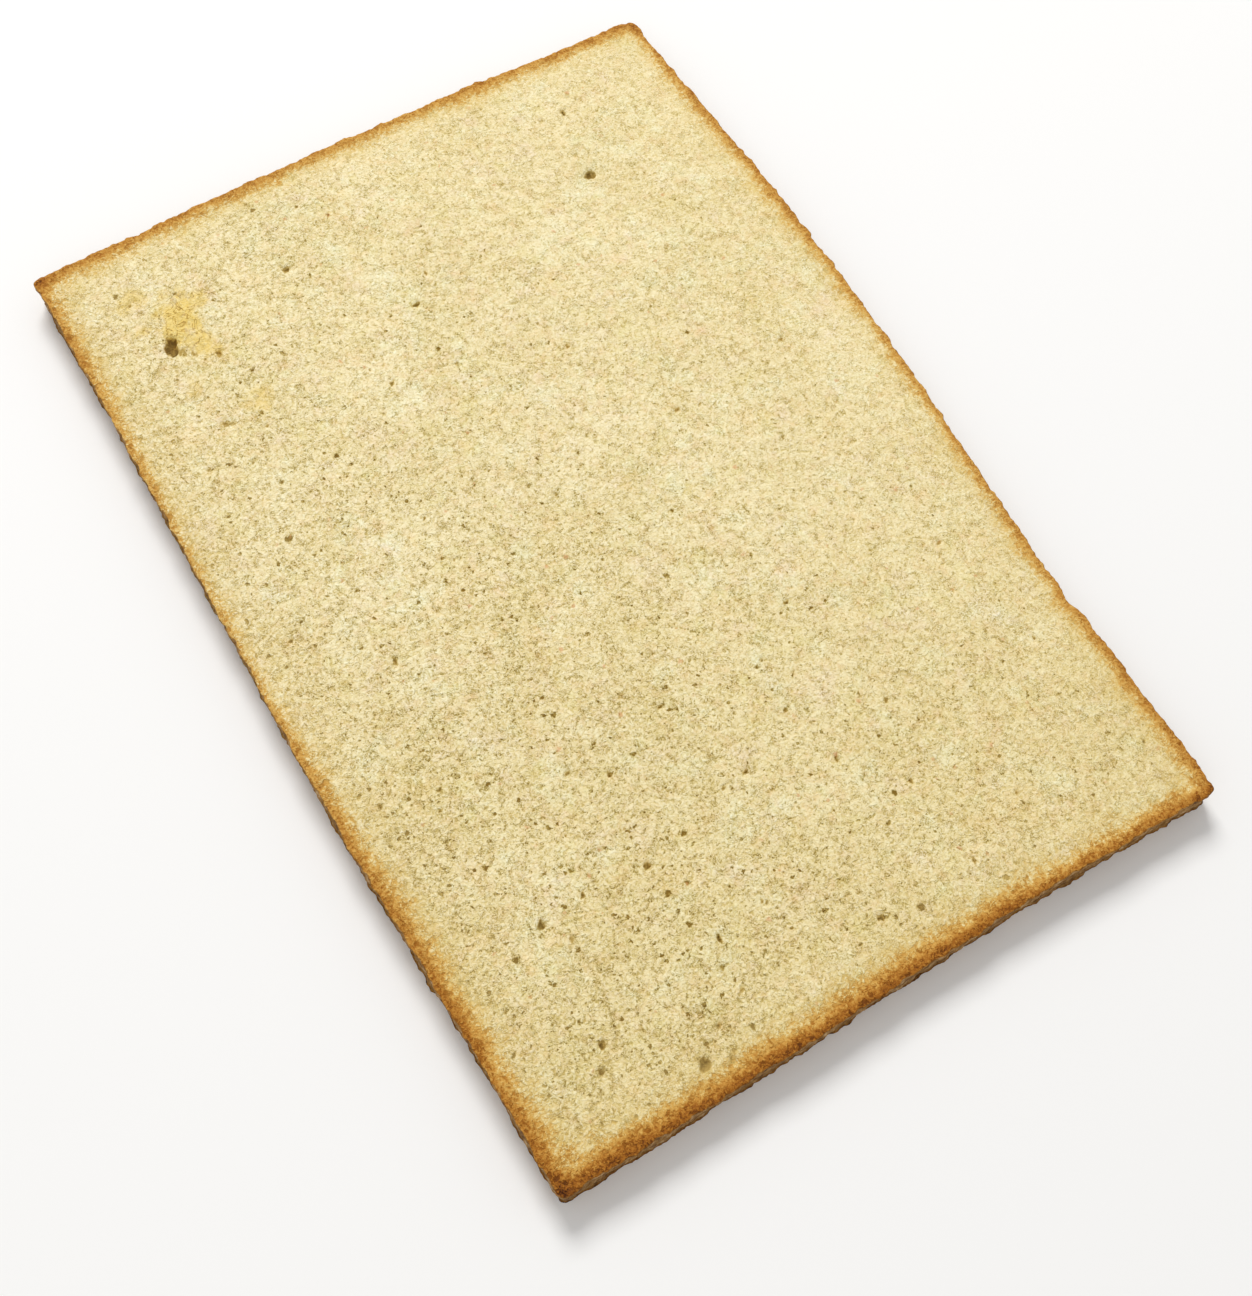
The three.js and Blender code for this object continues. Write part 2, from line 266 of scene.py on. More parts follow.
def add_node(tree, kind, links=(), stops=(), **settings):
    """Adds a node of that kind to the tree. links gives (its input, a node, that node's output),
    stops the places and colours of a colour ramp, and settings its properties, or the values of
    its inputs, whose names have _ for a space, or are i and a number. Colours are sRGB hex."""
    node = tree.nodes.new(kind)
    for key, value in settings.items():
        if hasattr(node, key):
            setattr(node, key, value)
    for key, value in settings.items():
        if not hasattr(node, key):
            place = int(key[1:]) if key[1:].isdigit() else key.replace("_", " ")
            node.inputs[place].default_value = linear(value) if isinstance(value, str) else value
    for count, (place, colour) in enumerate(stops):
        band = node.color_ramp.elements
        element = band[count] if count < len(band) else band.new(place)
        element.position = place
        element.color = linear(colour)
    for place, source, output in links:
        tree.links.new(source.outputs[output], node.inputs[place])
    return node


CRUMB_TONE = 0.622  # 0 is the painted shade of a deep pore and 1 the palest crumb
CONTRAST, COARSE_CONTRAST, CONTRAST_CENTRE = 0.58, 0.40, 0.56
BLOTCHES = [  # size, detail, distortion and share of the tone
    (38, 3, 0.0, 0.30),
    (8, 3, 0.4, 0.20),
    (2.6, 3, 0.8, 0.20),
    (1.0, 1, 0.8, 1.0),
]
STROKES = [(1.6, 2.3, 1, 0.34), (2.7, 6.1, 2, 0.22)]  # size, seed, gating channel, darkness
FINE_PORES = [  # spacing, least draw that opens one, widest radius as a share of the spacing, darkness of its painted shade
    (1.7, 0.66, 0.27, 0.42),
    (3.3, 0.69, 0.25, 0.56),
    (8, 0.70, 0.17, 0.68),
]
COARSE_OPENS = 0.35  # how much the coarseness adds to the draw
PATCH_GROUND = "#e6d5a0"  # the crumb's mean colour, which a patch turns into its own
PATCHES = [  # tan, peach, olive, rosy and pale: size, where it starts, colour, most, seed
    (5, 0.52, "#d9b478", 0.50, 3.1),
    (9, 0.53, "#ecc88a", 0.38, 9.4),
    (11, 0.54, "#dccd84", 0.55, 5.2),
    (12, 0.54, "#e6ccb0", 0.38, 7.7),
    (14, 0.52, "#e9e4b8", 0.70, 12.3),
]


def bread_material():
    """Tin bread, baked and sliced: crumb is a matte open foam, pale yellow with tan pores, whose
    darkness is painted shade, and it browns to a drier crust with a dull gloss. The attributes say
    how brown each point is, how deep in a pore, how coarse the crumb is there, and whether it is on
    the side or in the torn spot. Of a colour Mix, inputs 0, 6 and 7 are the share and the two colours,
    and 2 comes out."""
    made = bpy.data.materials.new("tin_bread_baked_and_sliced")
    made.use_nodes = True
    tree = made.node_tree
    tree.nodes.clear()
    where = add_node(tree, "ShaderNodeTexCoord")
    brown, pore, coarse, side, torn = (
        add_node(tree, "ShaderNodeAttribute", attribute_name=name)
        for name in ("brown", "pore", "coarse", "side", "torn")
    )

    # The tone starts from blotches: slow clouds, mottle, the cell walls and the finest grain
    blotches = [
        add_node(
            tree, "ShaderNodeTexNoise", [("Vector", where, "Object")],
            Scale=1 / (size * MM), Detail=detail, Roughness=0.6, Distortion=twist,
        )
        for size, detail, twist, _ in BLOTCHES
    ]
    tone = add_node(tree, "ShaderNodeValue")
    tone.outputs[0].default_value = CRUMB_TONE
    for source, (*_, share) in zip(blotches, BLOTCHES):
        swing = add_node(tree, "ShaderNodeMath", [(0, source, "Fac")], operation="SUBTRACT", i1=0.5)
        tone = add_node(
            tree, "ShaderNodeMath", [(0, swing, 0), (2, tone, 0)], operation="MULTIPLY_ADD", i1=share,
        )
    smooth_tone = tone
    walls = blotches[2]

    # Strokes: torn cell walls show as short curved dark lines. They lie where a noise crosses its
    # middle value and another noise is high.
    channels = add_node(tree, "ShaderNodeSeparateColor", [("Color", walls, "Color")])
    for size, seed, channel, darkness in STROKES:
        line = add_node(
            tree, "ShaderNodeTexNoise", [("Vector", where, "Object")], noise_dimensions="4D",
            W=seed, Scale=1 / (size * MM), Detail=1.5, Roughness=0.6, Distortion=1.4,
        )
        line = add_node(tree, "ShaderNodeMath", [(0, line, "Fac")], operation="SUBTRACT", i1=0.5)
        line = add_node(tree, "ShaderNodeMath", [(0, line, 0)], operation="ABSOLUTE")
        line = add_node(
            tree, "ShaderNodeMapRange", [("Value", line, 0)], interpolation_type="SMOOTHSTEP",
            From_Min=0.08, From_Max=0.015,
        )
        gate = add_node(
            tree, "ShaderNodeMapRange", [("Value", channels, channel)], interpolation_type="SMOOTHSTEP",
            From_Min=0.47, From_Max=0.62,
        )
        stroke = add_node(tree, "ShaderNodeMath", [(0, line, 0), (1, gate, 0)], operation="MULTIPLY")
        tone = add_node(
            tree, "ShaderNodeMath", [(0, stroke, 0), (2, tone, 0)],
            operation="MULTIPLY_ADD", i1=-darkness,
        )

    # Fine pores: in each cell of three sizes a bubble may be open, and its rim bends with the
    # cell walls, by up to 1.6 mm either way. An open one is darkened in the tone: painted shade in the
    # pore
    wander = add_node(
        tree, "ShaderNodeVectorMath", [(0, walls, "Color")], operation="MULTIPLY_ADD",
        i1=(3.2 * MM,) * 3, i2=(-1.6 * MM,) * 3,
    )
    bent = add_node(
        tree, "ShaderNodeVectorMath", [(0, where, "Object"), (1, wander, 0)], operation="ADD",
    )
    for spacing, least, widest, darkness in FINE_PORES:
        cells = add_node(
            tree, "ShaderNodeTexVoronoi", [("Vector", bent, 0)], Scale=1 / (spacing * MM), Randomness=1.0,
        )
        picked = add_node(tree, "ShaderNodeSeparateColor", [("Color", cells, "Color")])
        likely = add_node(
            tree, "ShaderNodeMath", [(0, coarse, "Fac"), (2, picked, 0)],
            operation="MULTIPLY_ADD", i1=COARSE_OPENS,
        )
        size = add_node(
            tree, "ShaderNodeMapRange", [("Value", likely, 0)],
            From_Min=least, From_Max=1.2, To_Min=-0.05, To_Max=widest,
        )
        mouth = add_node(
            tree, "ShaderNodeMath", [(0, size, 0), (1, cells, "Distance")], operation="SUBTRACT",
        )
        opened = add_node(
            tree, "ShaderNodeMapRange", [("Value", mouth, 0)], interpolation_type="SMOOTHSTEP",
            From_Min=-0.03, From_Max=0.07,
        )
        tone = add_node(
            tree, "ShaderNodeMath", [(0, opened, 0), (2, tone, 0)],
            operation="MULTIPLY_ADD", i1=-darkness,
        )

    # Coarser crumb has more contrast
    contrast = add_node(
        tree, "ShaderNodeMath", [(0, coarse, "Fac")],
        operation="MULTIPLY_ADD", i1=COARSE_CONTRAST, i2=CONTRAST,
    )
    centred = add_node(
        tree, "ShaderNodeMath", [(0, tone, 0)], operation="SUBTRACT", i1=CONTRAST_CENTRE,
    )
    tone = add_node(
        tree, "ShaderNodeMath", [(0, centred, 0), (1, contrast, 0)],
        operation="MULTIPLY_ADD", i2=CONTRAST_CENTRE,
    )
    crumb = add_node(
        tree, "ShaderNodeValToRGB", [("Fac", tone, 0)],
        stops=[
            (0.0, "#876928"), (0.16, "#a78e48"), (0.30, "#c7b06c"), (0.42, "#dbc789"),
            (0.53, "#e8d6a0"), (0.66, "#f4e5b8"), (0.84, "#fdf2ca"),
        ],
    )

    # Towards the front it is a little yellower, and there are patches of other hues. A patch
    # multiplies the crumb by its own colour and divides it by the ground's
    place = add_node(tree, "ShaderNodeSeparateXYZ", [(0, where, "Object")])
    near = add_node(tree, "ShaderNodeMapRange", [("Value", place, 1)], From_Min=0.03, From_Max=-0.15)
    crumb = add_node(
        tree, "ShaderNodeMix", [(0, near, 0), (6, crumb, "Color")],
        data_type="RGBA", blend_type="MULTIPLY", i7="#fbf9f1",
    )
    for size, start, colour, most, seed in PATCHES:
        patch = add_node(
            tree, "ShaderNodeTexNoise", [("Vector", where, "Object")], noise_dimensions="4D",
            W=seed, Scale=1 / (size * MM), Detail=4, Roughness=0.7,
        )
        share = add_node(
            tree, "ShaderNodeMapRange", [("Value", patch, "Fac")],
            From_Min=start, From_Max=start + 0.2, To_Max=most,
        )
        tinted = add_node(
            tree, "ShaderNodeMix", [(6, crumb, 2)],
            data_type="RGBA", blend_type="MULTIPLY", i0=1.0, i7=colour,
        )
        tinted = add_node(
            tree, "ShaderNodeMix", [(6, tinted, 2)],
            data_type="RGBA", blend_type="DIVIDE", i0=1.0, i7=PATCH_GROUND,
        )
        crumb = add_node(
            tree, "ShaderNodeMix", [(0, share, 0), (6, crumb, 2), (7, tinted, 2)], data_type="RGBA",
        )

    # Flecks: here and there a bit of crumb has reddened
    cells = add_node(
        tree, "ShaderNodeTexVoronoi", [("Vector", bent, 0)], Scale=1 / (6.5 * MM), Randomness=1.0,
    )
    picked = add_node(tree, "ShaderNodeSeparateColor", [("Color", cells, "Color")])
    size = add_node(
        tree, "ShaderNodeMapRange", [("Value", picked, 1)], From_Min=0.5, To_Min=-0.05, To_Max=0.15,
    )
    mouth = add_node(tree, "ShaderNodeMath", [(0, size, 0), (1, cells, "Distance")], operation="SUBTRACT")
    fleck = add_node(
        tree, "ShaderNodeMapRange", [("Value", mouth, 0)], interpolation_type="SMOOTHSTEP",
        From_Min=-0.06, From_Max=0.06, To_Max=0.6,
    )
    crumb = add_node(
        tree, "ShaderNodeMix", [(0, fleck, 0), (6, crumb, 2)], data_type="RGBA", i7="#d69860",
    )

    # The torn spot is yellow, and where the crumb was stretched into folds, their dark lines are painted
    # shade in the creases
    fold_shade_line = add_node(
        tree, "ShaderNodeTexNoise", [("Vector", where, "Object")],
        Scale=1 / (9 * MM), Detail=2, Roughness=0.6, Distortion=1.2,
    )
    fold_shade_line = add_node(tree, "ShaderNodeMath", [(0, fold_shade_line, "Fac")], operation="SUBTRACT", i1=0.5)
    fold_shade_line = add_node(tree, "ShaderNodeMath", [(0, fold_shade_line, 0)], operation="ABSOLUTE")
    fold_shade_line = add_node(
        tree, "ShaderNodeMapRange", [("Value", fold_shade_line, 0)], interpolation_type="SMOOTHSTEP",
        From_Min=0.024, From_Max=0.004,
    )
    smoothed = add_node(
        tree, "ShaderNodeMath", [(0, smooth_tone, 0)], operation="MULTIPLY_ADD", i1=0.45, i2=0.33,
    )
    torn_tone_less_fold_shade = add_node(
        tree, "ShaderNodeMath", [(0, fold_shade_line, 0), (2, smoothed, 0)], operation="MULTIPLY_ADD", i1=-0.35,
    )
    yolk = add_node(
        tree, "ShaderNodeValToRGB", [("Fac", torn_tone_less_fold_shade, 0)],
        stops=[(0.2, "#96722a"), (0.36, "#cda443"), (0.55, "#ebca6c"), (0.78, "#f3dc90")],
    )
    crumb = add_node(
        tree, "ShaderNodeMix", [(0, torn, "Fac"), (6, crumb, 2), (7, yolk, "Color")], data_type="RGBA",
    )

    # Painted shade: the larger pores are darker towards their bottom, unevenly, as the cell walls are,
    # standing in for the shade that falls in them
    uneven = add_node(
        tree, "ShaderNodeMath", [(0, walls, "Fac")], operation="MULTIPLY_ADD", i1=1.5, i2=-0.05,
    )
    pore_shade_depth = add_node(tree, "ShaderNodeMath", [(0, uneven, 0), (1, pore, "Fac")], operation="MULTIPLY")
    painted_pore_shade = add_node(
        tree, "ShaderNodeValToRGB", [("Fac", pore_shade_depth, 0)],
        stops=[
            (0.14, "#ffffff"), (0.28, "#d8caa0"), (0.44, "#b39f6e"), (0.6, "#94804e"),
            (0.9, "#7c6434"),
        ],
    )
    crumb = add_node(
        tree, "ShaderNodeMix", [(6, crumb, 2), (7, painted_pore_shade, "Color")],
        data_type="RGBA", blend_type="MULTIPLY", i0=1.0,
    )

    # Browning: the ramp from crumb to crust, further along where the crumb's tone is dark, up to
    # a limit, so that a fine pore doesn't turn black
    swing = add_node(tree, "ShaderNodeMapRange", [("Value", brown, "Fac")], From_Max=0.3, To_Max=-0.6)
    speckle = add_node(tree, "ShaderNodeMath", [(0, centred, 0)], operation="MAXIMUM", i1=-0.25)
    level = add_node(
        tree, "ShaderNodeMath", [(0, speckle, 0), (1, swing, 0), (2, brown, "Fac")],
        operation="MULTIPLY_ADD",
    )
    crust = add_node(
        tree, "ShaderNodeValToRGB", [("Fac", level, 0)],
        stops=[
            (0.05, "#dfc47e"), (0.2, "#debd6f"), (0.36, "#d5a655"), (0.52, "#be8536"),
            (0.7, "#9f6118"), (0.86, "#764108"), (1.0, "#482004"),
        ],
    )
    cover = add_node(tree, "ShaderNodeMapRange", [("Value", level, 0)], From_Max=0.3)
    surface = add_node(
        tree, "ShaderNodeMix", [(0, cover, 0), (6, crumb, 2), (7, crust, "Color")], data_type="RGBA",
    )

    # Side crust: duller and greyer brown, with pale scuffs; its pits are darkened by their depth, as
    # painted shade
    scuff = add_node(
        tree, "ShaderNodeTexNoise", [("Vector", where, "Object")],
        Scale=1 / (3.2 * MM), Detail=4, Roughness=0.65, Distortion=0.4,
    )
    bark = add_node(
        tree, "ShaderNodeValToRGB", [("Fac", scuff, "Fac")],
        stops=[(0.34, "#6a431a"), (0.46, "#8f6730"), (0.56, "#ab8048"), (0.7, "#d2b283")],
    )
    pit_shade_share = add_node(tree, "ShaderNodeMath", [(0, pore, "Fac")], operation="MULTIPLY", i1=0.7)
    bark = add_node(
        tree, "ShaderNodeMix", [(0, pit_shade_share, 0), (6, bark, "Color")], data_type="RGBA", i7="#5c3a1c",
    )
    surface = add_node(
        tree, "ShaderNodeMix", [(0, side, "Fac"), (6, surface, 2), (7, bark, 2)], data_type="RGBA",
    )

    bump = add_node(tree, "ShaderNodeBump", [("Height", tone, 0)], Strength=0.7, Distance=0.9 * MM)
    gloss = add_node(
        tree, "ShaderNodeMapRange", [("Value", level, 0)],
        From_Min=0.3, From_Max=0.9, To_Min=0.9, To_Max=0.55,
    )
    skin = add_node(
        tree, "ShaderNodeBsdfPrincipled",
        [("Base Color", surface, 2), ("Roughness", gloss, 0), ("Normal", bump, 0)],
        IOR=1.42, Specular_IOR_Level=0.2,
    )
    add_node(tree, "ShaderNodeOutputMaterial", [("Surface", skin, "BSDF")])
    return made


def crust_band():
    """The crust's skin as a closed ring: a profile is carried round the plan. It runs out along
    the lower face, up the side and in along the upper face, and back down inside the crumb. The
    crags are waves that run round the sheet, and finer random ones."""
    place, outward, share = round_the_plan(RING_STEP)
    side_heights = np.linspace(ARRIS, THICKNESS - ARRIS, SIDE_ROWS)
    lower_insets = np.linspace(CRUST_INSET, ARRIS, LOWER_ROWS)
    upper_insets = np.linspace(ARRIS, CRUST_INSET, UPPER_ROWS)
    inner_heights = THICKNESS * np.array(INNER_HEIGHTS)
    inset = np.r_[lower_insets, 0 * side_heights, upper_insets, 0 * inner_heights + CRUST_INSET]
    height = np.r_[0 * lower_insets, side_heights, 0 * upper_insets + THICKNESS, inner_heights]
    around, across = len(share), len(inset)
    inset, height = np.tile(inset, around), np.tile(height, around)
    place, outward, share = (np.repeat(each, across, 0) for each in (place, outward, share))
    flat = plan_points(place, outward, inset)
    points = np.c_[flat, height]
    on_side = 1.0 * (inset < ARRIS / 2)
    worn = 1 - WEAR * np.exp(-((inset / WEAR_REACH) ** 2))
    crag = sum(h * np.sin(2 * np.pi * n * share + climb * height + p) for n, h, climb, p in CRAG_WAVES)
    crag += ripples(points, FINE_CRAGS)
    pits = bubbles(points, **PITS)
    leans = DRAFT * (1 - height / THICKNESS)
    push = crag * np.clip(1 - inset / CRAG_FADE, 0, 1) - (leans + PIT_SHARE * pits) * (inset < ARRIS)
    inner = inset >= CRUST_INSET - 0.01
    flat += (push * ~inner)[:, None] * outward
    x, y = flat.T
    rough = fine_relief(points)
    dip = seam_dip(side_distance(x, y) - SEAM_INSET)
    upper = height > THICKNESS - 0.2
    lower = height < 0.2
    lift = height / THICKNESS * (face_height(x, y) - THICKNESS)
    z = height + lift + upper * (rough - dip) + lower * (np.maximum(-rough, 0) + dip)
    attributes = {
        "brown": np.clip(browning(x, y, points) * worn + SIDE_BROWNING * on_side, 0, 1),
        "pore": np.clip(pits / DEEP_PIT, 0, 1) * (FACE_PITS + (1 - FACE_PITS) * on_side),
        "coarse": coarseness(x, y),
        "side": on_side,
        "torn": np.zeros(len(x)),
    }
    ring = np.arange(around)[:, None] * across
    ring_next = (np.arange(around)[:, None] + 1) % around * across
    low = np.arange(across)[None]
    high = (low + 1) % across
    faces = np.stack([ring + low, ring_next + low, ring_next + high, ring + high], -1).reshape(-1, 4)
    return add_mesh("crust", sheet_points(x, y, z), faces, attributes, bread)


def sheet_points(x, y, z):
    """Points of the true rectangle, bent out of true, centred on the bent plan's box, in metres."""
    bent_x, bent_y = out_of_true(x, y)
    return np.stack([bent_x - plan_centre[0], bent_y - plan_centre[1], z], 1) * MM


bread = bread_material()
edge_place, edge_outward, _ = round_the_plan(RING_STEP)
edge_plan = np.stack(out_of_true(*plan_points(edge_place, edge_outward, 0.0).T))
plan_centre = (edge_plan.min(1) + edge_plan.max(1)) / 2
crust = crust_band()
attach(crust, "root")
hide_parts("bread_sheet")

# ---------------------------------------------------------------------------------------------
# Crumb: the pale open inside of the loaf, which the slicer cut level above and below. Its faces
# show cut bubbles, more and coarser towards the front left, and one torn spot at the back left.
# ---------------------------------------------------------------------------------------------
CRUMB_STEP = 1.16  # spacing of the points on the upper face
CRUMB_INSET = 4.2  # where the crumb's faces end, under the crust's skin
PORE_SEED = 20
UPPER_PORES, LOWER_PORES = 60, 20
PORE_LENGTH, PORE_ROUNDNESS, PORE_DEPTH = (1.8, 2.9), (0.6, 0.95), (0.35, 0.5)
PORE_SPACING, PORE_MARGIN, PORE_LIFT = 9, 11, 0.2
RESTING_PATCH = 30
LARGEST_PORES = [  # x, y, length and turn of the few that stand out
    (3.5, -180.4, 3.2, 3),
    (-75, -191.9, 5, 2.5),
    (-66.5, -195.4, 2.8, 0.2),
    (-105.5, -175.9, 3.4, 2.2),
    (-101, -168.4, 3.6, 1.1),
    (-48, -158.4, 3.6, 1.1),
    (-27, -154.9, 2.8, 2.4),
    (-55, -123.4, 3.2, 2.1),
    (-97, -122.9, 3.2, 1.3),
    (-7.5, -111.4, 3.6, 2.9),
    (-48.5, -87.9, 3, 1.4),
    (-92.5, -10.9, 3.4, 0.9),
    (-11.5, 120.6, 2.8, 0.4),
    (81, 141.6, 4.6, 0.7),
    (-47.5, 161.1, 3.2, 0.1),
    (-107.5, 174.6, 2.8, 2),
    (87, 175.1, 3, 1.1),
]
TORN_PLACE, TORN_CLEARANCE = (-97, 150.6), 32
TORN_HOLLOWS = [  # x, y, length, width, turn, depth
    (-102.5, 149.8, 9.6, 5, 1.2, 2.6),
    (-99.8, 145.6, 5.2, 4.4, 0.3, 0.9),
    (-96.5, 143.1, 4, 2.4, 2.2, 0.9),
    (-88.5, 138.6, 4.6, 3.2, 1.7, 1.1),
    (-99, 108.1, 9.5, 2.6, 2.7, 0.8),
]
TORN_FLAP, FLAP_HEIGHT, FLAP_SINK = (-94.5, 158.6, 21, 12, 1.0), 0.45, 0.5
TORN_EDGE = 1.3  # how soon the yellow is full inside the edge of a spot
TORN_RAGS = [(0.22, 7, 43), (0.16, 2.8, 44)]  # height, wavelength, seed
TORN_FOLDS = [(0.06, 5, 45)]
RIM_WANDER, RIM_WANDER_LENGTH, RIM_WANDER_SEED = 0.3, 4, 41
DEEP_PORE = 1.4  # depth at which a pore's painted shade is darkest
YOLK_PATCHES = [  # x, y, length, width, turn and strength of the yellowed spots
    (-95.5, 159, 32, 19, 1.35, 0.9),
    (-88, 164, 22, 9, 0.3, 0.7),
    (-91, 146.5, 17, 11, 1.9, 0.8),
    (-109, 161.5, 8, 5, 0.1, 0.6),
    (-106.5, 176, 14, 11, 0.5, 0.5),
    (-103, 129, 11, 8, 0.8, 0.4),
    (-84, 112, 15, 11, 0.4, 0.45),
]


def draws(seed):
    """Repeatable draws between two ends: each state is 16807 times the last, modulo 2^31 - 1."""
    state = seed

    def draw(ends):
        nonlocal state
        state = state * 16807 % 2147483647
        return ends[0] + (ends[1] - ends[0]) * (state / 2147483647)

    return draw


def pore_places(count, draw, allowed):
    """Places for pores, apart from each other and from the sides, thicker towards the front left."""
    reach_x, reach_y = WIDTH / 2 - PORE_MARGIN, LENGTH / 2 - PORE_MARGIN
    places = []
    while len(places) < count:
        x, y = draw((-reach_x, reach_x)), draw((-reach_y, reach_y))
        front_left = 0.45 - 0.25 * (x / reach_x) - 0.3 * (y / reach_y)
        kept = draw((0, 1)) < front_left and allowed(x, y)
        if kept and all(math.dist((x, y), other) > PORE_SPACING for other in places):
            places.append((x, y))
    return places


def drawn_hollows():
    """The larger pores of the upper and of the lower face: place, length, width, turn, depth."""
    draw = draws(PORE_SEED)
    spots = [(TORN_PLACE, TORN_CLEARANCE)]
    spots += [(spot[:2], PORE_SPACING) for spot in LARGEST_PORES + TORN_HOLLOWS]

    def shaped(x, y, length, turn):
        """One pore, whose roundness and depth are drawn."""
        return x, y, length, length * draw(PORE_ROUNDNESS), turn, length * draw(PORE_DEPTH)

    above = pore_places(UPPER_PORES, draw, lambda *at: all(math.dist(at, s) > far for s, far in spots))
    upper = [shaped(*place, draw(PORE_LENGTH), draw((0, math.pi))) for place in above]
    below = pore_places(LOWER_PORES, draw, lambda *at: math.hypot(*at) > RESTING_PATCH)
    lower = [shaped(*place, draw(PORE_LENGTH), draw((0, math.pi))) for place in below]
    return upper + [shaped(*pore) for pore in LARGEST_PORES] + TORN_HOLLOWS, lower


def egg(x, y, spot):
    """What is left of 1 after the squared distances from a spot, measured along and across it as
    shares of its half length and half width: 1 in its middle and 0 at its rim."""
    east, north = x - spot[0], y - spot[1]
    along = east * math.cos(spot[4]) + north * math.sin(spot[4])
    across = north * math.cos(spot[4]) - east * math.sin(spot[4])
    return 1 - (2 * along / spot[2]) ** 2 - (2 * across / spot[3]) ** 2


def hollow_depth(x, y, hollows):
    """Depth of the oval hollows: half an egg shape's height times the root of egg(), less how far
    its centre lies above the face."""
    depth = np.zeros(len(x))
    for spot in hollows:
        cut = (spot[5] + PORE_LIFT) * np.sqrt(np.maximum(egg(x, y, spot), 0)) - PORE_LIFT
        depth = np.maximum(depth, cut)
    return depth


def crumb_slab():
    """A closed slab: a fine grid for the upper face, one half as fine for the lower, and a wall
    of three triangles to each step between their rims."""
    columns = 2 * round((WIDTH - 2 * CRUMB_INSET) / CRUMB_STEP / 2)
    rows = 2 * round((LENGTH - 2 * CRUMB_INSET) / CRUMB_STEP / 2)
    half_x, half_y = WIDTH / 2 - CRUMB_INSET, LENGTH / 2 - CRUMB_INSET

    def grid(across, along):
        """Points of a face, row by row from the front, its cells as quads that face up, and its
        rim, anticlockwise from the front left."""
        columns_x = np.linspace(-half_x, half_x, across + 1)
        rows_y = np.linspace(-half_y, half_y, along + 1)
        x, y = np.meshgrid(columns_x, rows_y)
        index = np.arange((across + 1) * (along + 1)).reshape(along + 1, across + 1)
        cells = np.stack([index[:-1, :-1], index[:-1, 1:], index[1:, 1:], index[1:, :-1]], -1)
        rim = np.r_[index[0, :-1], index[:-1, -1], index[-1, :0:-1], index[:0:-1, 0]]
        return x.ravel(), y.ravel(), cells.reshape(-1, 4), rim

    upper_x, upper_y, upper_cells, upper_rim = grid(columns, rows)
    lower_x, lower_y, lower_cells, lower_rim = grid(columns // 2, rows // 2)
    x, y = np.r_[upper_x, lower_x], np.r_[upper_y, lower_y]
    upper = np.arange(len(x)) < len(upper_x)
    points = np.c_[x, y, np.where(upper, THICKNESS, 0.0)]

    upper_hollows, lower_hollows = drawn_hollows()
    shifts = [ripple(points, RIM_WANDER_LENGTH, RIM_WANDER_SEED + n) for n in range(2)]
    plan = np.stack(out_of_true(x, y)) + RIM_WANDER * np.stack(shifts)
    hollow = np.where(upper, hollow_depth(*plan, upper_hollows), hollow_depth(*plan, lower_hollows))
    ragged = ripples(points, TORN_RAGS)
    yellowed = [s[5] * np.clip(TORN_EDGE * (egg(*plan, s) + ragged), 0, 1) for s in YOLK_PATCHES]
    torn = np.stack(yellowed).max(0) * upper
    flap = (FLAP_HEIGHT + FLAP_SINK) * np.sqrt(np.maximum(egg(*plan, TORN_FLAP), 0)) - FLAP_SINK
    folds = ripples(points, TORN_FOLDS) * torn
    relief = fine_relief(points) - hollow + np.maximum(flap, 0) * upper + folds

    dip = seam_dip(SEAM_INSET - side_distance(x, y))
    z = np.where(upper, face_height(x, y) + relief - dip, np.maximum(-relief, 0) + dip)
    attributes = {
        "brown": browning(x, y, points),
        "pore": np.clip(hollow / DEEP_PORE, 0, 1),
        "coarse": coarseness(x, y),
        "side": np.zeros(len(x)),
        "torn": torn,
    }
    lower_cells = lower_cells[:, ::-1] + len(upper_x)
    lower_rim = lower_rim + len(upper_x)
    near, far = lower_rim, np.roll(lower_rim, -1)
    first, between, last = upper_rim[::2], upper_rim[1::2], np.roll(upper_rim, -2)[::2]
    wall = np.concatenate([
        np.stack([near, between, first], 1),
        np.stack([near, far, between], 1),
        np.stack([far, last, between], 1),
    ])
    quads = np.concatenate([upper_cells, lower_cells])
    halves = np.concatenate([quads[:, [0, 1, 2]], quads[:, [0, 2, 3]], wall])
    return add_mesh("crumb", sheet_points(x, y, z), halves, attributes, bread)


crumb = crumb_slab()
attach(crumb, "root")
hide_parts("bread_sheet")

# ---------------------------------------------------------------------------------------------
# Floor and light: a plain pale floor under soft studio light, from a large lamp high up behind
# to the right, a weak one in front to the left, and a pale surround that fills the shadows.
# ---------------------------------------------------------------------------------------------
FLOOR_SIZE = 12.0  # metres
FLOOR_DROP = 0.05  # keeps the floor and the sheet's flat underside from coinciding
SURROUND_STRENGTH = 0.49


def floor_material():
    """Matte white board."""
    made = bpy.data.materials.new("matte_white_board")
    made.use_nodes = True
    skin = made.node_tree.nodes["Principled BSDF"]
    skin.inputs["Base Color"].default_value = linear("#f4f3f1")
    skin.inputs["Roughness"].default_value = 0.9
    return made


edge = FLOOR_SIZE / 2
corners = np.array([[-edge, -edge, 0], [edge, -edge, 0], [edge, edge, 0], [-edge, edge, 0]])
corners[:, 2] -= FLOOR_DROP * MM
floor = add_mesh("floor", corners, np.array([[0, 1, 2, 3]]), {}, floor_material())

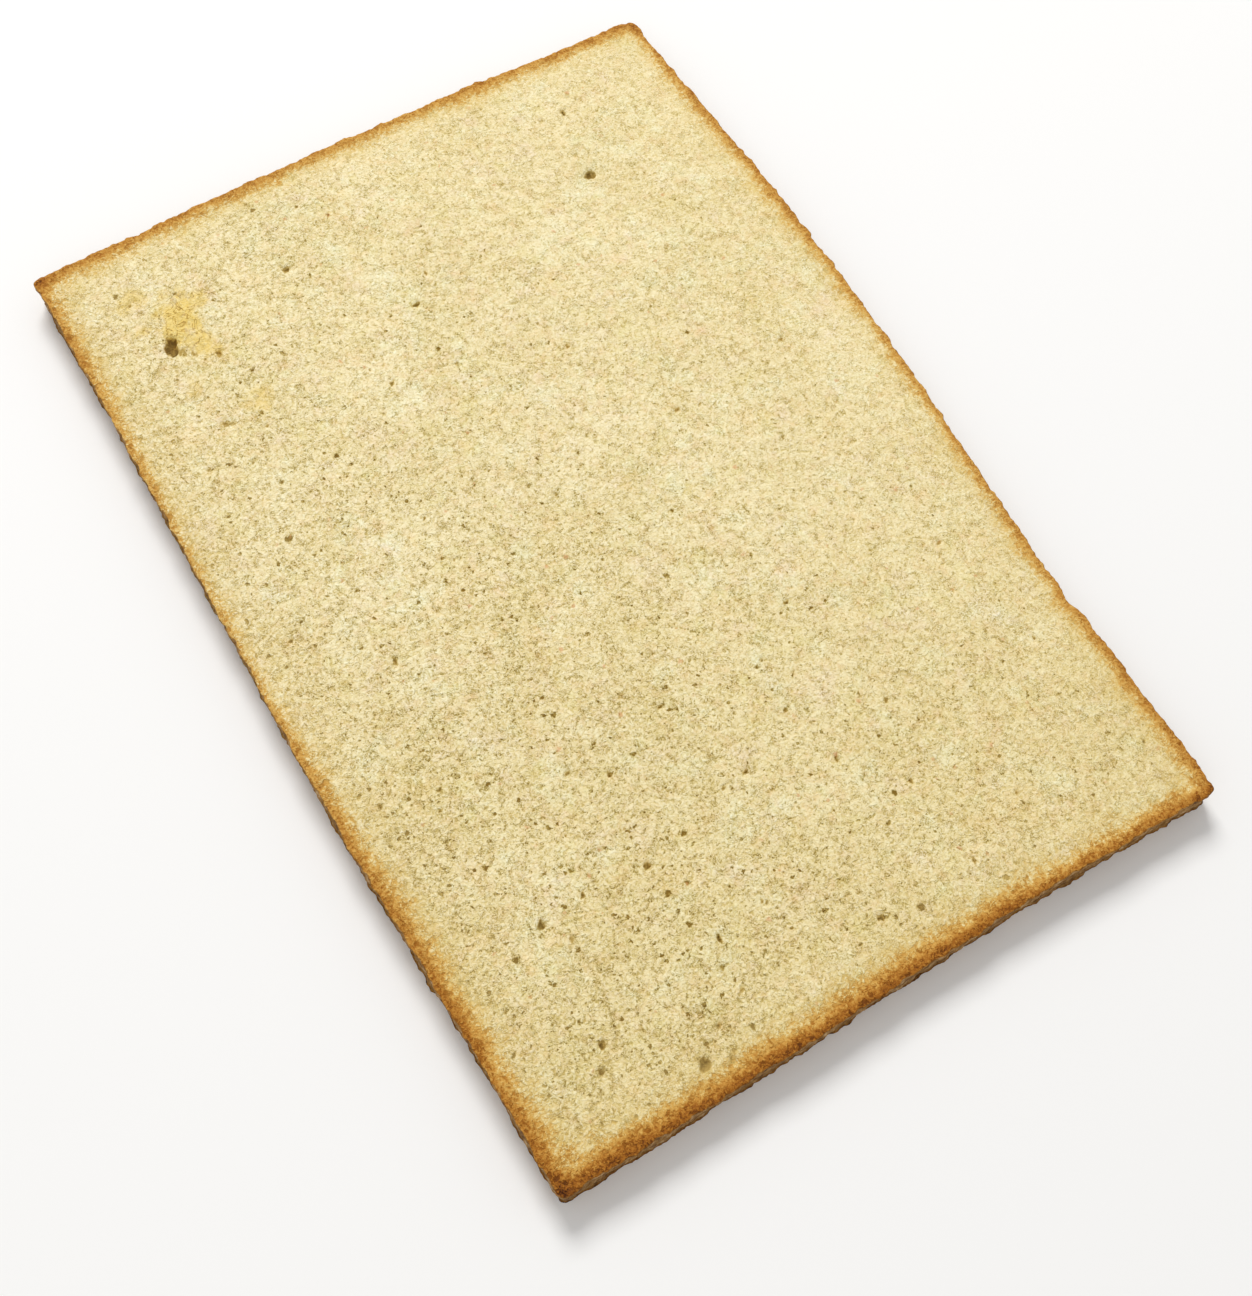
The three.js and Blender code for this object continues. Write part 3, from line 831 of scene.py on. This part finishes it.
surround = bpy.data.worlds.new("pale_surround")
surround.use_nodes = True
surround.node_tree.nodes["Background"].inputs["Color"].default_value = linear("#ffffff")
surround.node_tree.nodes["Background"].inputs["Strength"].default_value = SURROUND_STRENGTH
bpy.context.scene.world = surround


def add_lamp(name, location, size, power):
    """A square soft lamp that points at the sheet's middle. Place and size are in metres."""
    data = bpy.data.lights.new(name, "AREA")
    data.shape = "SQUARE"
    data.size = size
    data.energy = power
    lamp = bpy.data.objects.new(name, data)
    lamp.location = location
    lamp.rotation_euler = (-Vector(location)).to_track_quat("-Z", "Y").to_euler()
    bpy.context.scene.collection.objects.link(lamp)


add_lamp("key_lamp", location=(0.6, 2.2, 2.5), size=1.4, power=81)
add_lamp("fill_lamp", location=(-0.9, -0.9, 1.8), size=1.6, power=5.9)

# ---------------------------------------------------------------------------------------------
# View: from above the front left corner, as in the photograph. The camera's place, turn and
# focal length were found from the sheet's four corners in it.
# ---------------------------------------------------------------------------------------------
CAMERA_PLACE = Vector((-188.0, -291.65, 637.6)) * MM
AZIMUTH, ELEVATION, ROLL = math.radians(-39.0), math.radians(64.63), math.radians(7.55)
FOCAL_PIXELS, LONG_SIDE_PIXELS, CENTRE_OFFSET_PIXELS = 1901.5, 1296, 60
SENSOR_WIDTH = 36
FARTHEST = 50  # metres

view = bpy.data.cameras.new("camera")
view.sensor_width = SENSOR_WIDTH
view.lens = SENSOR_WIDTH * FOCAL_PIXELS / LONG_SIDE_PIXELS
view.shift_x = -CENTRE_OFFSET_PIXELS / LONG_SIDE_PIXELS
view.clip_end = FARTHEST
camera = bpy.data.objects.new("camera", view)
backward = Vector((
    math.sin(AZIMUTH) * math.cos(ELEVATION),
    -math.cos(AZIMUTH) * math.cos(ELEVATION),
    math.sin(ELEVATION),
))
camera.location = CAMERA_PLACE
camera.rotation_mode = "QUATERNION"
camera.rotation_quaternion = (-backward).to_track_quat("-Z", "Y") @ Quaternion((0, 0, 1), ROLL)
bpy.context.scene.collection.objects.link(camera)
bpy.context.scene.camera = camera
bpy.context.scene.view_settings.view_transform = "Standard"
